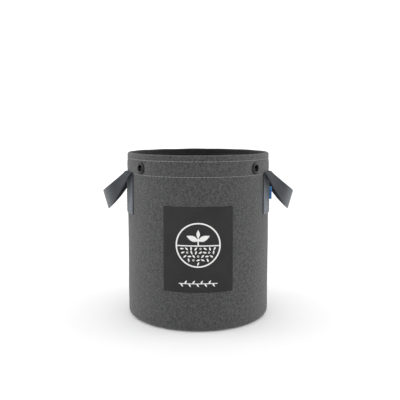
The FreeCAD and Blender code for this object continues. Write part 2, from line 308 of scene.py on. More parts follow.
def felt_wall():
    """The bag's wall with its folded hem and turned-in bottom: one sheet of felt."""
    profile = wall_profile()
    turns = 5 * ROW_PITCHES
    angle = np.linspace(90, 450, turns, endpoint=False)[:, None]
    radius, z = profile[:, 0][None], profile[:, 1][None]
    outward = smooth_step((radius - (RADIUS - FELT)) / FELT)
    standing = smooth_step(z / (12 * MM))
    inner = ripple(angle, z) * standing + waves(LUMPS, angle, z, 0.05 * MM) * standing
    outer = outside_relief(angle, z) * smooth_step((z + 2 * MM) / (6 * MM))
    radius = radius + inner * (1 - outward) + outer * outward
    up_the_hem = smooth_step((z - HEM_EDGE) / (HEIGHT - HEM_EDGE))
    lift = waves(RIPPLES, angle, 0.3, 0.22 * MM) * up_the_hem
    rings = around(angle, radius, z + lift)
    closed = np.concatenate([profile, profile[:1]])
    obj = skin("felt_wall", rings, wrap=True, along=np.arange(turns + 1) * (2 * np.pi * RADIUS / turns),
               across=lengths(closed))
    tidy_mesh(obj)
    punch_holes(obj)
    paint_shade_inside(obj)
    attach(obj, "bag")
    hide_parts("side_wall", "top_hem")
    return obj


def punch_holes(obj):
    """Cuts the four eyelet holes through the hem."""
    cutters = []
    for mount in EYELETS:
        bpy.ops.mesh.primitive_cylinder_add(vertices=40, radius=EYELET_HOLE, depth=16 * MM)
        cutter = bpy.context.object
        cutter.location = mount["pos_m"]
        cutter.rotation_mode = "QUATERNION"
        cutter.rotation_quaternion = Vector(mount["axis"]).to_track_quat("Z", "Y")
        cutters.append(cutter)
    cutter = joined("hole_cutters", cutters)
    cut = obj.modifiers.new("holes", "BOOLEAN")
    cut.object = cutter
    cut.operation = "DIFFERENCE"
    cut.solver = "MANIFOLD"
    bpy.context.view_layer.objects.active = obj
    bpy.ops.object.modifier_apply(modifier=cut.name)
    bpy.data.objects.remove(cutter)


def paint_shade_inside(obj):
    """Marks how far each point is inside the mouth, for the painted shade that darkens the felt's inner
    face.
    """
    co = np.zeros(len(obj.data.vertices) * 3)
    obj.data.vertices.foreach_get("co", co)
    co = co.reshape(-1, 3)
    radius = np.hypot(co[:, 0], co[:, 1])
    inside = smooth_step((RADIUS - 0.9 * FELT - radius) / (0.5 * FELT))
    inside *= smooth_step((co[:, 2] - 1.5 * MM) / (1 * MM))
    layer = obj.data.attributes.new("inside", "FLOAT", "POINT")
    layer.data.foreach_set("value", inside.astype(np.float32))


def base_felt():
    """The round base with its edge turned up: a section from the centre below to the centre above."""
    edge_inner = BASE_SEAM - FELT
    top = BASE_HIGH[2]
    bend = 3.4 * MM
    section = np.concatenate([
        run((0, 0), (BASE_SEAM - bend, 0), 3 * MM),
        arc((BASE_SEAM - bend, bend), bend, -90, 0, 6),
        run((BASE_SEAM, bend + 0.5 * MM), (BASE_SEAM, top - FELT / 2), 1.5 * MM),
        arc((BASE_SEAM - FELT / 2, top - FELT / 2), FELT / 2, 0, 180, 7),
        run((edge_inner, top - FELT / 2 - 0.3 * MM), (edge_inner, 3.4 * MM), 1.5 * MM),
        arc((edge_inner - 1.2 * MM, 3.4 * MM), 1.2 * MM, 0, -90, 5),
        run((edge_inner - 3 * MM, FELT), (0, FELT), 3 * MM),
        np.array([(0, FELT)]),
    ])
    turns = 240
    angle = np.linspace(0, 360, turns, endpoint=False)[:, None]
    radius, z = section[:, 0][None], section[:, 1][None]
    upper = smooth_step((z - 1.5 * MM) / MM)
    calm = np.clip(radius / (8 * MM), 0, 1)
    lift = 0.16 * MM * waves(RIPPLES, angle, radius * 3, 1) * upper * calm
    near_seam = np.exp(-(((z - BASE_STITCH_HEIGHT) / (1.4 * MM)) ** 2))
    seam = np.cos(np.radians(angle) * BASE_STITCHES) * 0.15 * MM * near_seam
    rings = around(angle, radius + seam * upper, z + lift)
    along = np.arange(turns + 1) * (2 * np.pi * BASE_SEAM / turns)
    across = lengths(np.concatenate([section, section[:1]]))
    obj = skin("felt_base", rings, wrap=True, along=along, across=across)
    tidy_mesh(obj, weld=1e-6)
    flat_grain(obj)
    paint_shade_inside(obj)
    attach(obj, "bag")
    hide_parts("base_panel")
    return obj


def flat_grain(obj):
    """Lays a flat piece's grain straight across it."""
    layer = obj.data.uv_layers["grain"]
    for loop in obj.data.loops:
        co = obj.data.vertices[loop.vertex_index].co
        layer.data[loop.index].uv = (co.x, co.y)


def seam_edges():
    """The two edges of the sheet that the side seam joins, standing inward from the wall."""
    low, high = 11 * MM, HEM_EDGE - 0.2 * MM
    heights = np.linspace(low, high, 90)
    half_width, half_felt = 4.1 * MM, FELT / 2
    turn = np.linspace(0, 2 * np.pi, 40, endpoint=False)
    power = 0.35
    section_x = half_width * np.sign(np.cos(turn)) * np.abs(np.cos(turn)) ** power
    section_y = half_felt * np.sign(np.sin(turn)) * np.abs(np.sin(turn)) ** power
    halves = []
    for side in (-1, 1):
        sway = waves(LUMPS[:12], 0, heights * 0.35 + side, 0.22 * MM)[:, None]
        inward = np.clip((half_width - section_x) / (2 * half_width), 0, 1)[None]
        x = (RADIUS - FELT - half_width + 0.15 * MM) + section_x[None] + sway * inward
        y = side * (half_felt + 0.1 * MM) + section_y[None] + side * 0.15 * MM * inward**3
        rings = np.stack(np.broadcast_arrays(x, y, heights[:, None]), -1)
        closed = np.concatenate([rings[0], rings[0][:1]])
        halves.append(skin(f"seam_edge_{side}", rings, along=heights, across=lengths(closed)))
        tidy_mesh(halves[-1])
    obj = joined("side_seam_edges", halves)
    # painted shade: the seam edges stand inside the bag, so they are darkened fully like the felt's inner
    # face
    layer = obj.data.attributes.new("inside", "FLOAT", "POINT")
    layer.data.foreach_set("value", np.ones(len(obj.data.vertices), dtype=np.float32))
    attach(obj, "bag")
    return obj


# ---- thread ----
def thread_stitches(name, places, alongs, outs, rise=0.18 * MM):
    """Two-ply stitches. Each lies at a place on the surface, runs along it and dips in at both ends."""
    places, alongs, outs = (np.asarray(v, dtype=float)[:, None, None] for v in (places, alongs, outs))
    sections, spokes = 13, 12
    t = np.linspace(-1, 1, sections)
    x = t * STITCH / 2
    h = rise - (rise + STITCH_SINK) * np.abs(t) ** 4.5
    slope = np.gradient(h, x)
    run_x, run_h = 1 / np.hypot(1, slope), slope / np.hypot(1, slope)
    phi = np.linspace(0, 2 * np.pi, spokes, endpoint=False)
    twist = 2.3 * np.pi * t
    ply = 1 + 0.2 * np.cos(2 * (phi[None] - twist[:, None]))
    reach = THREAD / 2 * ply * (1 - 0.15 * np.abs(t[:, None]) ** 6)
    up, side = reach * np.cos(phi), reach * np.sin(phi)
    sides = np.cross(alongs, outs)
    a = (x[:, None] - up * run_h[:, None])[None, ..., None]
    o = (h[:, None] + up * run_x[:, None])[None, ..., None]
    points = places + alongs * a + outs * o + sides * side[None, ..., None]
    count = len(points)
    grid = np.arange(sections * spokes).reshape(sections, spokes)
    right = np.roll(grid, -1, axis=1)
    quads = np.stack([grid[:-1], right[:-1], right[1:], grid[1:]], -1).reshape(-1, 4)
    faces = []
    for k in range(count):
        base = k * sections * spokes
        faces += (quads + base).tolist()
        faces.append((grid[0][::-1] + base).tolist())
        faces.append((grid[-1] + base).tolist())
    obj = make_object(name, points.reshape(-1, 3), faces)
    tidy_mesh(obj)
    return obj


def round_the_bag(angles, radius, height):
    """Places, directions and outward normals for stitches that run round the bag."""
    a = np.radians(angles)
    zero = np.zeros_like(a)
    places = around(angles, radius, height)
    return places, np.stack([np.cos(a), np.sin(a), zero], 1), np.stack([np.sin(a), -np.cos(a), zero], 1)


def settle(name, node, pieces):
    """Makes one thread piece of several, riding on the bag in place of its CAD node."""
    obj = joined(name, pieces) if len(pieces) > 1 else pieces[0]
    obj.name = obj.data.name = name
    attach(obj, "bag")
    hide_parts(node)
    return obj


def covered_by_strap(angles):
    from_front = np.abs((angles + 180) % 360 - 180)
    from_side = np.abs(from_front - 90)
    half = math.degrees(STRAP_WIDTH / 2 / RADIUS)
    return np.abs(90 - from_side - STRAP_ANGLE) < half + 1


def rim_threads():
    """Both rows of stitches through the hem: pale needle thread outside, dark bobbin thread inside."""
    needle, bobbin = [], []
    step = 360 / ROW_PITCHES
    every = (np.arange(ROW_PITCHES) + 0.5) * step
    for row, height in zip(("upper", "lower"), ROW_HEIGHTS):
        angles = every if row == "upper" else every[~covered_by_strap(every)]
        z = np.full_like(angles, height)
        outer = RADIUS + outside_relief(angles, z) + 0.12 * MM
        places, alongs, outs = round_the_bag(angles, outer, z)
        outside = thread_stitches(f"outer_{row}", places, alongs, outs)
        needle.append(settle(f"rim_thread_{row}", f"rim_stitch_{row}", [outside]))
        places, alongs, outs = round_the_bag(angles, HEM_INNER + ripple(angles, z) - 0.05 * MM, z)
        inside = thread_stitches(f"inner_{row}", places, alongs, -outs)
        bobbin.append(settle(f"rim_thread_{row}_inside", f"rim_stitch_{row}", [inside]))
    return needle, bobbin


def side_seam_thread():
    """The row of stitches that joins the two edges inside the side seam."""
    heights = np.arange(13.8 * MM, HEM_EDGE - 3 * MM, SEAM_PITCH)
    rows = []
    for side in (-1, 1):
        from_axis = np.full_like(heights, RADIUS - SEAM_ROW_IN)
        aside = np.full_like(heights, side * (FELT + 0.15 * MM))
        places = np.stack([from_axis, aside, heights], 1)
        alongs = np.tile((0.0, 0.0, 1.0), (len(heights), 1))
        outs = np.tile((0.0, float(side), 0.0), (len(heights), 1))
        rows.append(thread_stitches(f"seam_{side}", places, alongs, outs))
    return settle("side_seam_thread", "side_seam_stitch", rows)


def base_seam_thread():
    """Stitches through the two turned-up edges round the base, on both their faces."""
    angles = (np.arange(BASE_STITCHES) + 0.5) * 360 / BASE_STITCHES
    z = np.full_like(angles, BASE_STITCH_HEIGHT)
    places, alongs, outs = round_the_bag(angles, BASE_SEAM + FELT, z)
    outside = thread_stitches("base_outer", places, alongs, outs)
    places, alongs, outs = round_the_bag(angles, BASE_SEAM - FELT - 0.1 * MM, z)
    inside = thread_stitches("base_inner", places, alongs, -outs)
    return settle("base_seam_thread", "base_seam_stitch", [outside, inside])


def spaced(start, end, pitch):
    return np.linspace(start, end, max(round((end - start) / pitch), 1) + 1)


def strap_threads():
    """The box of stitches round each sewn strap end, seen on the webbing and inside the bag."""
    pieces = []
    inset = 2.4 * MM
    half_angle = math.degrees(STRAP_WIDTH / 2 / RADIUS)
    side_angle = half_angle * (1 - 2 * inset / STRAP_WIDTH)
    low, high = LEG_LOW[2] + inset, LEG_HIGH[2] - inset
    end = math.degrees(STITCH / 2 / RADIUS)
    for side, sign in SIDES.items():
        for place, middle in (("front", STRAP_ANGLE), ("back", 180 - STRAP_ANGLE)):
            centre = sign * middle
            rows = []
            heights = spaced(low + STITCH / 2, high - STITCH, STRAP_PITCH)
            for off in (-side_angle, side_angle):
                angles = np.full_like(heights, centre + off)
                rows.append((angles, heights, True))
            pitch = math.degrees(STRAP_PITCH / RADIUS)
            across = spaced(-side_angle + 2 * end, side_angle - 2 * end, pitch)
            for height in (low, high):
                rows.append((centre + across, np.full_like(across, height), False))
            parts = []
            for number, (angles, z, upright) in enumerate(rows):
                face = LEG_MIDDLE + STRAP_THICKNESS / 2 + ripple(angles, z)
                back = np.where(z > HEM_EDGE, HEM_INNER, WALL_INNER) + ripple(angles, z)
                for layer, radius, way in (("face", face, 1), ("back", back, -1)):
                    places, alongs, outs = round_the_bag(angles, radius, z)
                    if upright:
                        alongs = np.tile((0.0, 0.0, 1.0), (len(z), 1))
                    stitches = thread_stitches(f"{layer}_{number}", places, alongs, way * outs, 0.12 * MM)
                    parts.append(stitches)
            pieces.append(settle(f"{side}_strap_{place}_thread", f"{side}_handle_{place}_stitch",
                                 parts))
    return pieces


# ---- webbing ----
def bezier(points, t):
    """A cubic curve's point and direction at t."""
    a, b, c, d = points
    u = 1 - t
    place = a * u**3 + b * (3 * t * u * u) + c * (3 * t * t * u) + d * t**3
    ahead = (b - a) * (u * u) + (c - b) * (2 * t * u) + (d - c) * (t * t)
    return place, ahead.normalized()


def loop_frame(t):
    """Middle, travel and across directions on the front half of the right loop, t from 0 to 1."""
    height = LEG_HIGH[2]
    out = Vector(around(STRAP_ANGLE, 1.0, 0.0))
    start = out * LOOP_START + Vector((0, 0, height))
    pull_out = start + out * LOOP_LEAVES_OUT - Vector((0, 0, LOOP_LEAVES_DOWN))
    pull_in = LOOP_TIP - Vector((0, LOOP_TIP_RUN, 0))
    middle, ahead = bezier((start, pull_out, pull_in, LOOP_TIP), t)
    at_wall = Vector(around(STRAP_ANGLE - 90, 1.0, 0.0))
    at_tip = Vector((-math.sin(LOOP_TIP_LEAN), 0, -math.cos(LOOP_TIP_LEAN)))
    turn = math.acos(at_wall.dot(at_tip))
    across = at_wall * math.sin((1 - t) * turn) + at_tip * math.sin(t * turn)
    return middle, ahead, across.normalized()


def strap_line():
    """The strap's middle line from its sewn lower end, up the wall, over the fold and out to the tip.

    Each entry is (middle, ahead, across, bend), where bend is 1 where the strap is curved round the wall.
    """
    out = Vector(around(STRAP_ANGLE, 1.0, 0.0))
    across = Vector(around(STRAP_ANGLE - 90, 1.0, 0.0))
    up = Vector((0, 0, 1))
    entries = []
    top = LEG_HIGH[2] - 1.6 * MM
    for z in np.arange(LEG_LOW[2], top, 0.45 * MM):
        entries.append((out * LEG_MIDDLE + up * z, up, across, 1.0))
    joins_at = 0.07
    end, end_ahead, end_across = loop_frame(joins_at)
    start = out * LEG_MIDDLE + up * top
    pull = 3.4 * MM
    control = (start, start + up * pull, end - end_ahead * pull, end)
    count = 18
    for k in range(count):
        t = k / count
        entries.append((*bezier(control, t), across.lerp(end_across, t).normalized(), (1 - t) ** 2))
    for t in np.linspace(joins_at, 1, 130):
        entries.append((*loop_frame(t), 0.0))
    return entries


def strap_section():
    """The webbing's section: places across it and through it, with rounded selvages."""
    half, thick = STRAP_WIDTH / 2, STRAP_THICKNESS / 2
    step = 0.42 * MM
    top = run((-half + thick, thick), (half - thick, thick), step)
    right = arc((half - thick, 0), thick, 90, -90, 7)[:-1]
    bottom = run((half - thick, -thick), (-half + thick, -thick), step)
    left = arc((-half + thick, 0), thick, 270, 90, 7)[:-1]
    return np.concatenate([top, right, bottom, left])


def webbing_half(name, side, end):
    """Half a handle in one length of woven webbing, from its sewn end to the middle of the loop."""
    mirror = np.array((SIDES[side], 1 if end == "front" else -1, 1))
    line = strap_line()
    middles = np.array([e[0] for e in line])
    ahead = np.array([e[1] for e in line])
    across = np.array([e[2] for e in line])
    bend = np.array([e[3] for e in line])
    across = across - ahead * (across * ahead).sum(1, keepdims=True)
    across /= np.linalg.norm(across, axis=1, keepdims=True)
    face = np.cross(ahead, across)
    distance = lengths(middles)
    from_tip = distance - distance[-1]
    section = strap_section()
    w, h = section[:, 0][None], section[:, 1][None]
    flatness = np.clip((STRAP_WIDTH / 2 - np.abs(w)) / (1.2 * MM), 0, 1)
    round_it = lengths(np.concatenate([section, section[:1]])) - STRAP_WIDTH / 2 + STRAP_THICKNESS / 2
    place = round_it[None, :-1]
    # the picks run across the strap, and woven ridges run along it
    weave = np.sin(np.pi * place / YARN) * np.sin(np.pi * (from_tip[:, None] + PICK / 2) / PICK)
    rib = -0.5 * np.cos(2 * np.pi * place / YARN)
    relief = 0.085 * MM * (weave * 0.9 + rib * 0.5) * flatness
    from_selvage = np.abs(w) - (STRAP_WIDTH / 2 - 1.9 * MM)
    relief = relief - 0.25 * MM * np.exp(-((from_selvage / (0.35 * MM)) ** 2)) * 0.5
    h = h + np.sign(h) * relief * (np.abs(h) > 0.3 * MM)
    # the sewn end follows the wall, and the free part cups a little
    sag = (np.sqrt(LEG_MIDDLE**2 - w**2) - LEG_MIDDLE) * bend[:, None]
    free = (1 - bend[:, None]) * smooth_step(from_tip[:, None] / distance[-1] * -3)
    cup = 0.35 * MM * (w / (STRAP_WIDTH / 2)) ** 2 * free
    outward_sign = np.sign((face[0] * middles[0]).sum())
    h = h + outward_sign * sag + cup
    points = middles[:, None] + across[:, None] * w[..., None] + face[:, None] * h[..., None]
    points = points * mirror
    obj = skin(name, points, along=from_tip, across=round_it)
    tidy_mesh(obj)
    out = around(STRAP_ANGLE, 1.0, 0.0) * mirror
    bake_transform(obj)
    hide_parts(f"{side}_handle_{end}_leg", f"{side}_handle_loop")
    return obj


# ---- label and tag ----
def label_patch():
    """The smooth charcoal patch bonded on the front, with softly rounded edges and corners."""
    half_angle = math.degrees(math.asin(LABEL_HIGH[0] / (RADIUS + LABEL_THICKNESS)))
    half_w = math.radians(half_angle) * RADIUS
    low, high = LABEL_LOW[2], LABEL_HIGH[2]
    columns = np.linspace(-half_w, half_w, 121)
    rows = np.linspace(low, high, 141)
    x, z = np.meshgrid(columns, rows, indexing="ij")
    corner = 1.6 * MM
    inset_x = np.clip(corner - (half_w - np.abs(x)), 0, None)
    inset_z = np.clip(corner - np.minimum(z - low, high - z), 0, None)
    over = np.hypot(inset_x, inset_z)
    pull = np.where(over > corner, corner / np.maximum(over, 1e-9), 1)
    x = np.where(over > corner, np.sign(x) * (half_w - corner + inset_x * pull), x)
    middle = (low + high) / 2
    rounded_z = middle + np.sign(z - middle) * ((high - low) / 2 - corner + inset_z * pull)
    z = np.where(over > corner, rounded_z, z)
    edge = np.minimum(half_w - np.abs(x), np.minimum(z - low, high - z))
    rounded = LABEL_THICKNESS * (1 - (1 - np.clip(edge / (0.8 * MM), 0, 1)) ** 2) ** 0.5
    angle = np.degrees(x / RADIUS)
    top = surface(angle, z, LABEL_GAP + rounded)
    under = surface(angle, z, -0.25 * MM)
    count_x, count_z = x.shape
    points = np.concatenate([top.reshape(-1, 3), under.reshape(-1, 3)])
    grid = np.arange(count_x * count_z).reshape(count_x, count_z)
    faces = np.stack([grid[:-1, :-1], grid[1:, :-1], grid[1:, 1:], grid[:-1, 1:]], -1).reshape(-1, 4)
    below = faces[:, ::-1] + grid.size
    rim = np.concatenate([grid[:-1, 0], grid[-1, :-1], grid[::-1, -1][:-1], grid[0, ::-1][:-1]])
    after = np.roll(rim, -1)
    walls = np.stack([rim, rim + grid.size, after + grid.size, after], -1)
    obj = make_object("label_patch", points, np.concatenate([faces, below, walls]).tolist())
    tidy_mesh(obj)
    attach(obj, "bag")
    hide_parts("front_label")
    return obj


def strip(left, right, closed=False):
    """A raised strip of ink between two lines of (x, height) points on the label."""
    ink, under = 0.1 * MM, -0.1 * MM
    left, right = np.asarray(left), np.asarray(right)
    layers = []
    for line, above in ((left, ink), (right, ink), (right, under), (left, under)):
        angle = np.degrees(line[:, 0] / RADIUS)
        layers.append(surface(angle, line[:, 1], LABEL_GAP + LABEL_THICKNESS + above))
    obj = skin("ink", np.stack(layers, 1), wrap=closed)
    tidy_mesh(obj)
    return obj


def leaf(x, z, length, width, degrees):
    """A plain leaf: pointed at both ends, from (x, z) towards an angle above the horizontal."""
    t = np.linspace(0.02, 1, 14)
    half = width / 2 * np.sin(np.pi * t**0.85)
    a = math.radians(degrees)
    along = np.array((math.cos(a), math.sin(a)))
    side = np.array((-math.sin(a), math.cos(a)))
    spine = np.array((x, z)) + np.outer(t * length, along)
    half = np.maximum(half, 0.03 * MM)
    return strip(spine + np.outer(half, side), spine - np.outer(half, side))


def stroke(start, end, width):
    """A straight line of ink."""
    start, end = np.array(start), np.array(end)
    along = (end - start) / np.linalg.norm(end - start)
    side = np.array((-along[1], along[0])) * width / 2
    spine = np.concatenate([run(start, end, 1.2 * MM), end[None]])
    return strip(spine + side, spine - side)


def ring(x, z, radius, width):
    a = np.linspace(0, 2 * np.pi, 120, endpoint=False)
    circle = np.stack([np.cos(a), np.sin(a)], 1)
    centre = np.array((x, z))
    return strip(centre + circle * radius, centre + circle * (radius - width), closed=True)


def label_print():
    """A plain emblem: a ring with a seedling above a ground line, leaves below it, and a twig."""
    top = LABEL_HIGH[2]
    x, z = 0.0, top - 39.2 * MM
    outer = 23.2 * MM
    parts = [ring(x, z, outer, 1.5 * MM)]
    ground = z - 0.6 * MM
    parts.append(stroke((x - outer + 1 * MM, ground), (x + outer - 1 * MM, ground), 1.2 * MM))
    # the seedling: a stem, two wide leaves and a bud
    parts.append(stroke((x, ground + 0.4 * MM), (x, ground + 9 * MM), 1.3 * MM))
    for way in (0, 180):
        lean = 24 if way == 0 else -24
        parts.append(leaf(x, ground + 5 * MM, 13 * MM, 5.6 * MM, way + lean))
    parts.append(leaf(x, ground + 8 * MM, 8.5 * MM, 3.6 * MM, 90))
    # leaves and specks in the soil
    reach = outer - 3.2 * MM
    count = 0
    for row in range(5):
        height = ground - (3.0 + 3.95 * row) * MM
        half = math.sqrt(max(reach**2 - (z - height) ** 2, 0)) - 0.6 * MM
        places = max(int(2 * half / (4.4 * MM)), 1)
        for k in range(places):
            offset = -half + 2 * half * (k + 0.5) / places
            turn = (count * 137.5) % 360
            count += 1
            if count % 5 == 0:
                parts.append(ring(x + offset, height, 1.05 * MM, 0.55 * MM))
                continue
            size = 4.3 * MM
            a = math.radians(turn)
            start_x = x + offset - size / 2 * math.cos(a)
            start_z = height - size / 2 * math.sin(a)
            parts.append(leaf(start_x, start_z, size, 1.7 * MM, turn))
    # a twig lying near the bottom edge, with leaves on both sides
    twig = top - 79.2 * MM
    parts.append(stroke((-20 * MM, twig), (20 * MM, twig), 0.8 * MM))
    for k in range(9):
        lean = 55 if k % 2 else -55
        parts.append(leaf((4.1 * k - 18) * MM, twig, 4.2 * MM, 1.7 * MM, lean))
    obj = joined("label_print", parts)
    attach(obj, "bag")
    return obj


def tag_ribbon():
    """The blue ribbon folded in two, its ends in the side seam and its fold standing out."""
    gap, thick = 0.22 * MM, 0.3 * MM
    x_in, x_fold = TAG_LOW[0], TAG_HIGH[0] - gap - thick / 2
    turn = np.radians(np.linspace(90, -90, 12))
    fold = np.stack([x_fold + gap * np.cos(turn), gap * np.sin(turn)], 1)
    middle = np.concatenate([run((x_in, gap), (x_fold, gap), 0.6 * MM), fold,
                             run((x_fold - 0.3 * MM, -gap), (x_in, -gap), 0.6 * MM), [(x_in, -gap)]])
    ahead = np.gradient(middle, axis=0)
    ahead /= np.linalg.norm(ahead, axis=1, keepdims=True)
    side = np.stack([-ahead[:, 1], ahead[:, 0]], 1)
    heights = np.linspace(TAG_LOW[2], TAG_HIGH[2], 40)
    u = (heights - heights[0]) / (heights[-1] - heights[0])
    rings = []
    for point, normal in zip(middle, side):
        free = smooth_step((point[0] - RADIUS) / (3 * MM))
        sway = 0.25 * MM * np.sin(2.2 * np.pi * u + 0.6) * free
        upper = np.stack([np.full_like(u, point[0]), point[1] + sway, heights], 1)
        off = np.array((normal[0], normal[1], 0)) * thick / 2
        rings.append(np.concatenate([upper + off, (upper - off)[::-1]]))
    rings = np.array(rings)
    across = np.concatenate([heights, heights[::-1], heights[:1]])
    obj = skin("side_tag_ribbon", rings, along=lengths(middle), across=across)
    tidy_mesh(obj)
    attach(obj, "bag")
    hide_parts("side_tag")
    return obj


# ---- materials ----
class Nodes:
    """A small helper for building a material's nodes."""

    def __init__(self, name):
        self.material = bpy.data.materials.new(name)
        self.material.use_nodes = True
        self.tree = self.material.node_tree
        self.shader = self.tree.nodes["Principled BSDF"]

    def add(self, kind, **settings):
        """A node of this type with these settings."""
        node = self.tree.nodes.new(kind)
        for key, value in settings.items():
            setattr(node, key, value)
        return node

    def link(self, source, target):
        self.tree.links.new(source, target)

    def grain(self, scale=(1, 1, 1), degrees=0):
        """The cloth's own coordinates in metres, turned and stretched."""
        place = self.add("ShaderNodeUVMap", uv_map="grain")
        mapping = self.add("ShaderNodeMapping", vector_type="TEXTURE")
        mapping.inputs["Scale"].default_value = tuple(1 / s for s in scale)
        mapping.inputs["Rotation"].default_value = (0, 0, math.radians(degrees))
        self.link(place.outputs["UV"], mapping.inputs["Vector"])
        return mapping.outputs["Vector"]

    def solid(self):
        return self.add("ShaderNodeTexCoord").outputs["Object"]

    def noise(self, vector, size, detail=4, roughness=0.55):
        """Noise whose blotches are about this many metres across."""
        node = self.add("ShaderNodeTexNoise")
        node.inputs["Scale"].default_value = 1 / size
        node.inputs["Detail"].default_value = detail
        node.inputs["Roughness"].default_value = roughness
        self.link(vector, node.inputs["Vector"])
        return node.outputs["Fac"]

    def spread(self, value, low, high, to_low=0.0, to_high=1.0):
        """Maps low..high to to_low..to_high, clamped."""
        node = self.add("ShaderNodeMapRange", interpolation_type="SMOOTHSTEP")
        node.inputs["From Min"].default_value = low
        node.inputs["From Max"].default_value = high
        node.inputs["To Min"].default_value = to_low
        node.inputs["To Max"].default_value = to_high
        self.link(value, node.inputs["Value"])
        return node.outputs["Result"]

    def math(self, operation, a, b):
        node = self.add("ShaderNodeMath", operation=operation)
        for socket, value in zip(node.inputs, (a, b)):
            if isinstance(value, (int, float)):
                socket.default_value = value
            else:
                self.link(value, socket)
        return node.outputs["Value"]

    def mix(self, factor, a, b, mode="MIX"):
        """Mixes two colours, each a tuple or a socket."""
        node = self.add("ShaderNodeMix", data_type="RGBA", blend_type=mode)
        sockets = [node.inputs["Factor"], node.inputs[6], node.inputs[7]]
        for socket, value in zip(sockets, (factor, a, b)):
            if isinstance(value, tuple):
                socket.default_value = (*value, 1)
            elif isinstance(value, (int, float)):
                socket.default_value = value
            else:
                self.link(value, socket)
        return node.outputs[2]

    def bump(self, height, distance, strength=1.0, after=None):
        node = self.add("ShaderNodeBump")
        node.inputs["Strength"].default_value = strength
        node.inputs["Distance"].default_value = distance
        self.link(height, node.inputs["Height"])
        if after is not None:
            self.link(after, node.inputs["Normal"])
        return node.outputs["Normal"]

    def colour(self, socket):
        self.link(socket, self.shader.inputs["Base Color"])

    def normal(self, socket):
        self.link(socket, self.shader.inputs["Normal"])

    def rough(self, socket):
        self.link(socket, self.shader.inputs["Roughness"])

    def set(self, **values):
        """Values that are the same all over, set on the shader itself."""
        for key, value in values.items():
            self.shader.inputs[key.replace("_", " ")].default_value = value


def felt_material():
    """Heather felt: short light and dark fibres lying every way over a mottled grey, darkened to charcoal
    inside as painted shade.
    """
    n = Nodes("heather_felt")
    light = dark = None
    for degrees, stretch in ((12, 7), (67, 6), (118, 8), (160, 6)):
        streak = n.noise(n.grain((1, stretch, 1), degrees), 3.4 * MM, 3, 0.6)
        pale = n.spread(streak, 0.58, 0.68)
        deep = n.spread(streak, 0.41, 0.32)
        light = pale if light is None else n.math("MAXIMUM", light, pale)
        dark = deep if dark is None else n.math("MAXIMUM", dark, deep)
    blotch = n.noise(n.solid(), 2.6 * MM, 4, 0.7)
    broad = n.noise(n.solid(), 38 * MM, 3, 0.5)
    fine = n.noise(n.solid(), 0.8 * MM, 4, 0.65)
    ground = n.mix(n.spread(blotch, 0.36, 0.64), (0.030, 0.0305, 0.0315), (0.078, 0.0785, 0.080))
    ground = n.mix(n.spread(broad, 0.3, 0.7, 0, 0.25), ground, (0.070, 0.070, 0.071))
    ground = n.mix(n.spread(fine, 0.4, 0.7, 0, 0.45), ground, (0.095, 0.095, 0.097))
    ground = n.mix(n.math("MULTIPLY", light, 0.6), ground, (0.17, 0.17, 0.17))
    ground = n.mix(n.math("MULTIPLY", dark, 0.7), ground, (0.013, 0.0135, 0.0145))
    # painted shade: the inside attribute darkens the felt to charcoal, standing in for the shadow inside
    # the bag
    inside = n.add("ShaderNodeAttribute", attribute_name="inside").outputs["Fac"]
    charcoal = n.mix(1.0, ground, (0.30, 0.30, 0.31), "MULTIPLY")
    n.colour(n.mix(inside, ground, charcoal))
    height = n.math("ADD", n.math("MULTIPLY", light, 0.55), n.math("MULTIPLY", fine, 0.9))
    height = n.math("SUBTRACT", height, n.math("MULTIPLY", dark, 0.35))
    low = n.bump(blotch, 0.5 * MM, 0.5)
    n.normal(n.bump(height, 0.22 * MM, 0.8, low))
    n.rough(n.spread(fine, 0.2, 0.8, 0.86, 1.0))
    n.set(Sheen_Weight=0.22, Sheen_Roughness=0.5, Specular_IOR_Level=0.15)
    return n.material


def thread_material(name, pale, deep):
    """Two-ply polyester thread: fine filaments and a slight soiling in soft blotches."""
    n = Nodes(name)
    solid = n.solid()
    filament = n.noise(solid, 0.12 * MM, 3, 0.6)
    wear = n.noise(solid, 9 * MM, 3, 0.5)
    tone = n.mix(n.spread(filament, 0.3, 0.7), deep, pale)
    n.colour(n.mix(n.spread(wear, 0.35, 0.75, 0, 0.4), tone, deep))
    n.normal(n.bump(filament, 0.06 * MM, 0.7))
    n.rough(n.spread(filament, 0.2, 0.8, 0.5, 0.7))
    n.set(Sheen_Weight=0.15, Sheen_Roughness=0.4, Specular_IOR_Level=0.4)
    return n.material


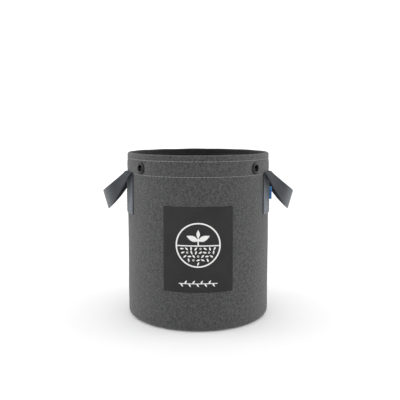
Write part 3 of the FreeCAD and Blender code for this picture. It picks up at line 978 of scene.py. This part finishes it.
def webbing_material():
    """Woven blue-grey webbing: yarn colour in the weave, painted lighter on its crowns and darker between
    the yarns as painted light and shade, filaments along each yarn, uneven tone, painted shade on the
    reverse and loop, and a painted highlight towards the tip.
    """
    n = Nodes("woven_webbing")
    separate = n.add("ShaderNodeSeparateXYZ")
    n.link(n.grain(), separate.inputs["Vector"])
    along, across = separate.outputs["X"], separate.outputs["Y"]
    wave_a = n.math("SINE", n.math("MULTIPLY", across, math.pi / YARN), 0)
    wave_b = n.math("SINE", n.math("MULTIPLY", n.math("ADD", along, PICK / 2), math.pi / PICK), 0)
    weave = n.math("ADD", n.math("MULTIPLY", n.math("MULTIPLY", wave_a, wave_b), 0.5), 0.5)
    ridge = n.math("ABSOLUTE", wave_a, 0)
    filament = n.noise(n.grain((1, 9, 1)), 2.2 * MM, 4, 0.65)
    tone = n.noise(n.solid(), 14 * MM, 3, 0.5)
    # painted light and shade at the scale of the yarns: the weave's crowns are lighter, its dips darker,
    # and the grooves between the yarns darker still
    colour = n.mix(n.spread(weave, 0.1, 0.9), (0.122, 0.134, 0.156), (0.262, 0.286, 0.318))
    colour = n.mix(n.spread(ridge, 0.5, 0.0, 0, 0.65), colour, (0.030, 0.033, 0.041))
    colour = n.mix(n.spread(filament, 0.35, 0.7, 0, 0.5), colour, (0.270, 0.292, 0.320))
    colour = n.mix(n.spread(tone, 0.3, 0.7, 0, 0.3), colour, (0.082, 0.092, 0.107))
    # along is measured back from the loop's tip: the sewn ends keep the pale colour, the reverse and the
    # free loop are darkened as painted shade, and the loop is lightened towards its tip as a painted
    # highlight
    reverse = n.spread(across, 10.4 * MM, 11.6 * MM)
    free = n.spread(along, -84 * MM, -58 * MM)
    dark = n.mix(1.0, colour, (0.15, 0.16, 0.17), "MULTIPLY")
    colour = n.mix(n.math("MAXIMUM", reverse, free), colour, dark)
    # painted highlight: the loop is lightened towards its tip, where the side lights fall on it
    painted_tip_light = n.spread(along, -36 * MM, -6 * MM, 0, 0.8)
    n.colour(n.mix(painted_tip_light, colour, (0.175, 0.186, 0.192)))
    low = n.bump(weave, 0.12 * MM, 0.7)
    n.normal(n.bump(filament, 0.07 * MM, 0.7, low))
    n.rough(n.spread(filament, 0.2, 0.8, 0.55, 0.8))
    n.set(Sheen_Weight=0.04, Sheen_Roughness=0.35, Specular_IOR_Level=0.2)
    return n.material


def metal_material():
    """Black lacquered steel with fine brushing and the lacquer thinned in patches."""
    n = Nodes("black_eyelet_metal")
    solid = n.solid()
    grain = n.noise(solid, 0.35 * MM, 4, 0.7)
    wear = n.noise(solid, 2.4 * MM, 5, 0.7)
    n.colour(n.mix(n.spread(wear, 0.58, 0.75, 0, 0.6), (0.004, 0.004, 0.0045), (0.04, 0.04, 0.042)))
    n.rough(n.spread(grain, 0.3, 0.7, 0.24, 0.42))
    n.normal(n.bump(grain, 0.02 * MM, 0.4))
    n.set(Metallic=0.1, Specular_IOR_Level=0.25, Coat_Weight=0.04, Coat_Roughness=0.25)
    return n.material


def label_material():
    """Smooth matt charcoal synthetic leather with a very fine pebble."""
    n = Nodes("label_leather")
    solid = n.solid()
    cells = n.add("ShaderNodeTexVoronoi", feature="SMOOTH_F1")
    cells.inputs["Scale"].default_value = 1 / (0.7 * MM)
    n.link(solid, cells.inputs["Vector"])
    broad = n.noise(solid, 22 * MM, 3, 0.5)
    fine = n.noise(solid, 0.5 * MM, 3, 0.6)
    n.colour(n.mix(n.spread(broad, 0.3, 0.7), (0.0165, 0.0165, 0.017), (0.021, 0.021, 0.0215)))
    n.normal(n.bump(cells.outputs["Distance"], 0.05 * MM, 0.35))
    n.rough(n.spread(fine, 0.2, 0.8, 0.55, 0.7))
    n.set(Specular_IOR_Level=0.25)
    return n.material


def print_material():
    """White screen ink with a slightly grainy, thin-in-places cover."""
    n = Nodes("white_ink")
    solid = n.solid()
    grain = n.noise(solid, 0.35 * MM, 3, 0.6)
    n.colour(n.mix(n.spread(grain, 0.3, 0.7), (0.72, 0.72, 0.71), (0.86, 0.86, 0.85)))
    n.normal(n.bump(grain, 0.03 * MM, 0.4))
    n.rough(n.spread(grain, 0.2, 0.8, 0.5, 0.68))
    return n.material


def tag_material():
    """Blue woven ribbon: fine cross ribs, with a paler warp showing between them."""
    n = Nodes("blue_ribbon")
    separate = n.add("ShaderNodeSeparateXYZ")
    n.link(n.grain(), separate.inputs["Vector"])
    rib = n.math("SINE", n.math("MULTIPLY", separate.outputs["Y"], 2 * math.pi / (0.5 * MM)), 0)
    warp = n.math("SINE", n.math("MULTIPLY", separate.outputs["X"], 2 * math.pi / (0.35 * MM)), 0)
    weave = n.math("ADD", n.math("MULTIPLY", n.math("MULTIPLY", rib, warp), 0.5), 0.5)
    tone = n.noise(n.solid(), 4 * MM, 3, 0.5)
    colour = n.mix(weave, (0.045, 0.19, 0.50), (0.10, 0.36, 0.80))
    n.colour(n.mix(n.spread(tone, 0.3, 0.7, 0, 0.35), colour, (0.14, 0.42, 0.84)))
    n.normal(n.bump(weave, 0.05 * MM, 0.6))
    n.rough(n.spread(tone, 0.2, 0.8, 0.5, 0.65))
    n.set(Sheen_Weight=0.25, Sheen_Roughness=0.4, Specular_IOR_Level=0.35)
    return n.material


def paint(objects, material):
    """Gives objects a material in their first slot."""
    for obj in objects:
        if obj.material_slots:
            obj.material_slots[0].material = material
        else:
            obj.data.materials.append(material)


# ---- studio ----
def floor():
    """A wide pale floor that curves up into a backdrop behind the bag."""
    half, back, tall, radius = 6.0, 4.0, 6.0, 1.5
    curve = arc((back - radius, radius), radius, -90, 0, 24)
    line = [(-half, 0.0), *(tuple(p) for p in curve), (back, tall)]
    points = [(x, y, z - 0.0002) for y, z in line for x in (-half, half)]
    faces = [(2 * k, 2 * k + 1, 2 * k + 3, 2 * k + 2) for k in range(len(line) - 1)]
    obj = make_object("studio_floor", points, faces)
    n = Nodes("studio_white")
    n.set(Roughness=0.9, Specular_IOR_Level=0.1)
    white = (0.93, 0.93, 0.93, 1)
    n.shader.inputs["Base Color"].default_value = white
    n.shader.inputs["Emission Color"].default_value = white
    # a lit backdrop: it glows more further away than round the bag
    distance = n.add("ShaderNodeVectorMath", operation="LENGTH")
    n.link(n.solid(), distance.inputs[0])
    n.link(n.spread(distance.outputs["Value"], 0.3, 2.5, 0.04, 0.3), n.shader.inputs["Emission Strength"])
    obj.data.materials.append(n.material)


def softbox(name, place, target, size, power):
    light = bpy.data.lights.new(name, "AREA")
    light.shape = "RECTANGLE"
    light.size, light.size_y = size
    light.energy = power
    obj = bpy.data.objects.new(name, light)
    bpy.context.collection.objects.link(obj)
    obj.location = place
    obj.rotation_mode = "QUATERNION"
    obj.rotation_quaternion = (Vector(target) - Vector(place)).to_track_quat("-Z", "Y")


def studio():
    scene = bpy.context.scene
    floor()
    world = bpy.data.worlds.new("studio_world")
    world.use_nodes = True
    background = world.node_tree.nodes["Background"]
    background.inputs["Color"].default_value = (1, 1, 1, 1)
    background.inputs["Strength"].default_value = 1.0
    scene.world = world
    middle = (0, 0, 0.09)
    for side, way in SIDES.items():
        softbox(f"{side}_box", (1.2 * way, 0.1, 0.45), middle, (0.8, 1.0), 4.5)
    softbox("front_fill", (0, -1.9, 0.7), middle, (1.6, 0.9), 1.2)
    scene.view_settings.view_transform = "Standard"


def camera():
    """Eye level with the top of the bag, a little above, looking slightly down."""
    data = bpy.data.cameras.new("camera")
    data.sensor_width = 36.0
    data.lens = 51.2
    data.shift_x = 0.0046
    data.shift_y = -0.0512
    data.clip_start = 0.05
    obj = bpy.data.objects.new("camera", data)
    bpy.context.collection.objects.link(obj)
    obj.location = (0, -0.649, 0.216)
    tilt_down = 0.1
    obj.rotation_euler = (math.pi / 2 - tilt_down, 0, 0)
    bpy.context.scene.camera = obj


# ---- the scene ----
camera()
studio()
felt = [felt_wall(), base_felt(), seam_edges()]
rim_needle, rim_bobbin = rim_threads()
threads = [*rim_needle, side_seam_thread(), base_seam_thread()]
strap_thread_pieces = strap_threads()
straps = [webbing_half(f"{side}_strap_{end}", side, end) for side in SIDES for end in ("front", "back")]
paint(felt, felt_material())
paint(threads, thread_material("pale_thread", (0.34, 0.34, 0.34), (0.20, 0.20, 0.20)))
paint(rim_bobbin, thread_material("charcoal_thread", (0.035, 0.035, 0.037), (0.018, 0.018, 0.019)))
paint(strap_thread_pieces, thread_material("strap_thread", (0.13, 0.14, 0.155), (0.07, 0.076, 0.085)))
paint(straps, webbing_material())
paint([label_patch()], label_material())
paint([label_print()], print_material())
paint([tag_ribbon()], tag_material())
metal = [frame["nodes"][f"{kind}_{end}_{side}"] for kind in ("eyelet", "washer")
         for end in ("front", "back") for side in SIDES]
paint(metal, metal_material())
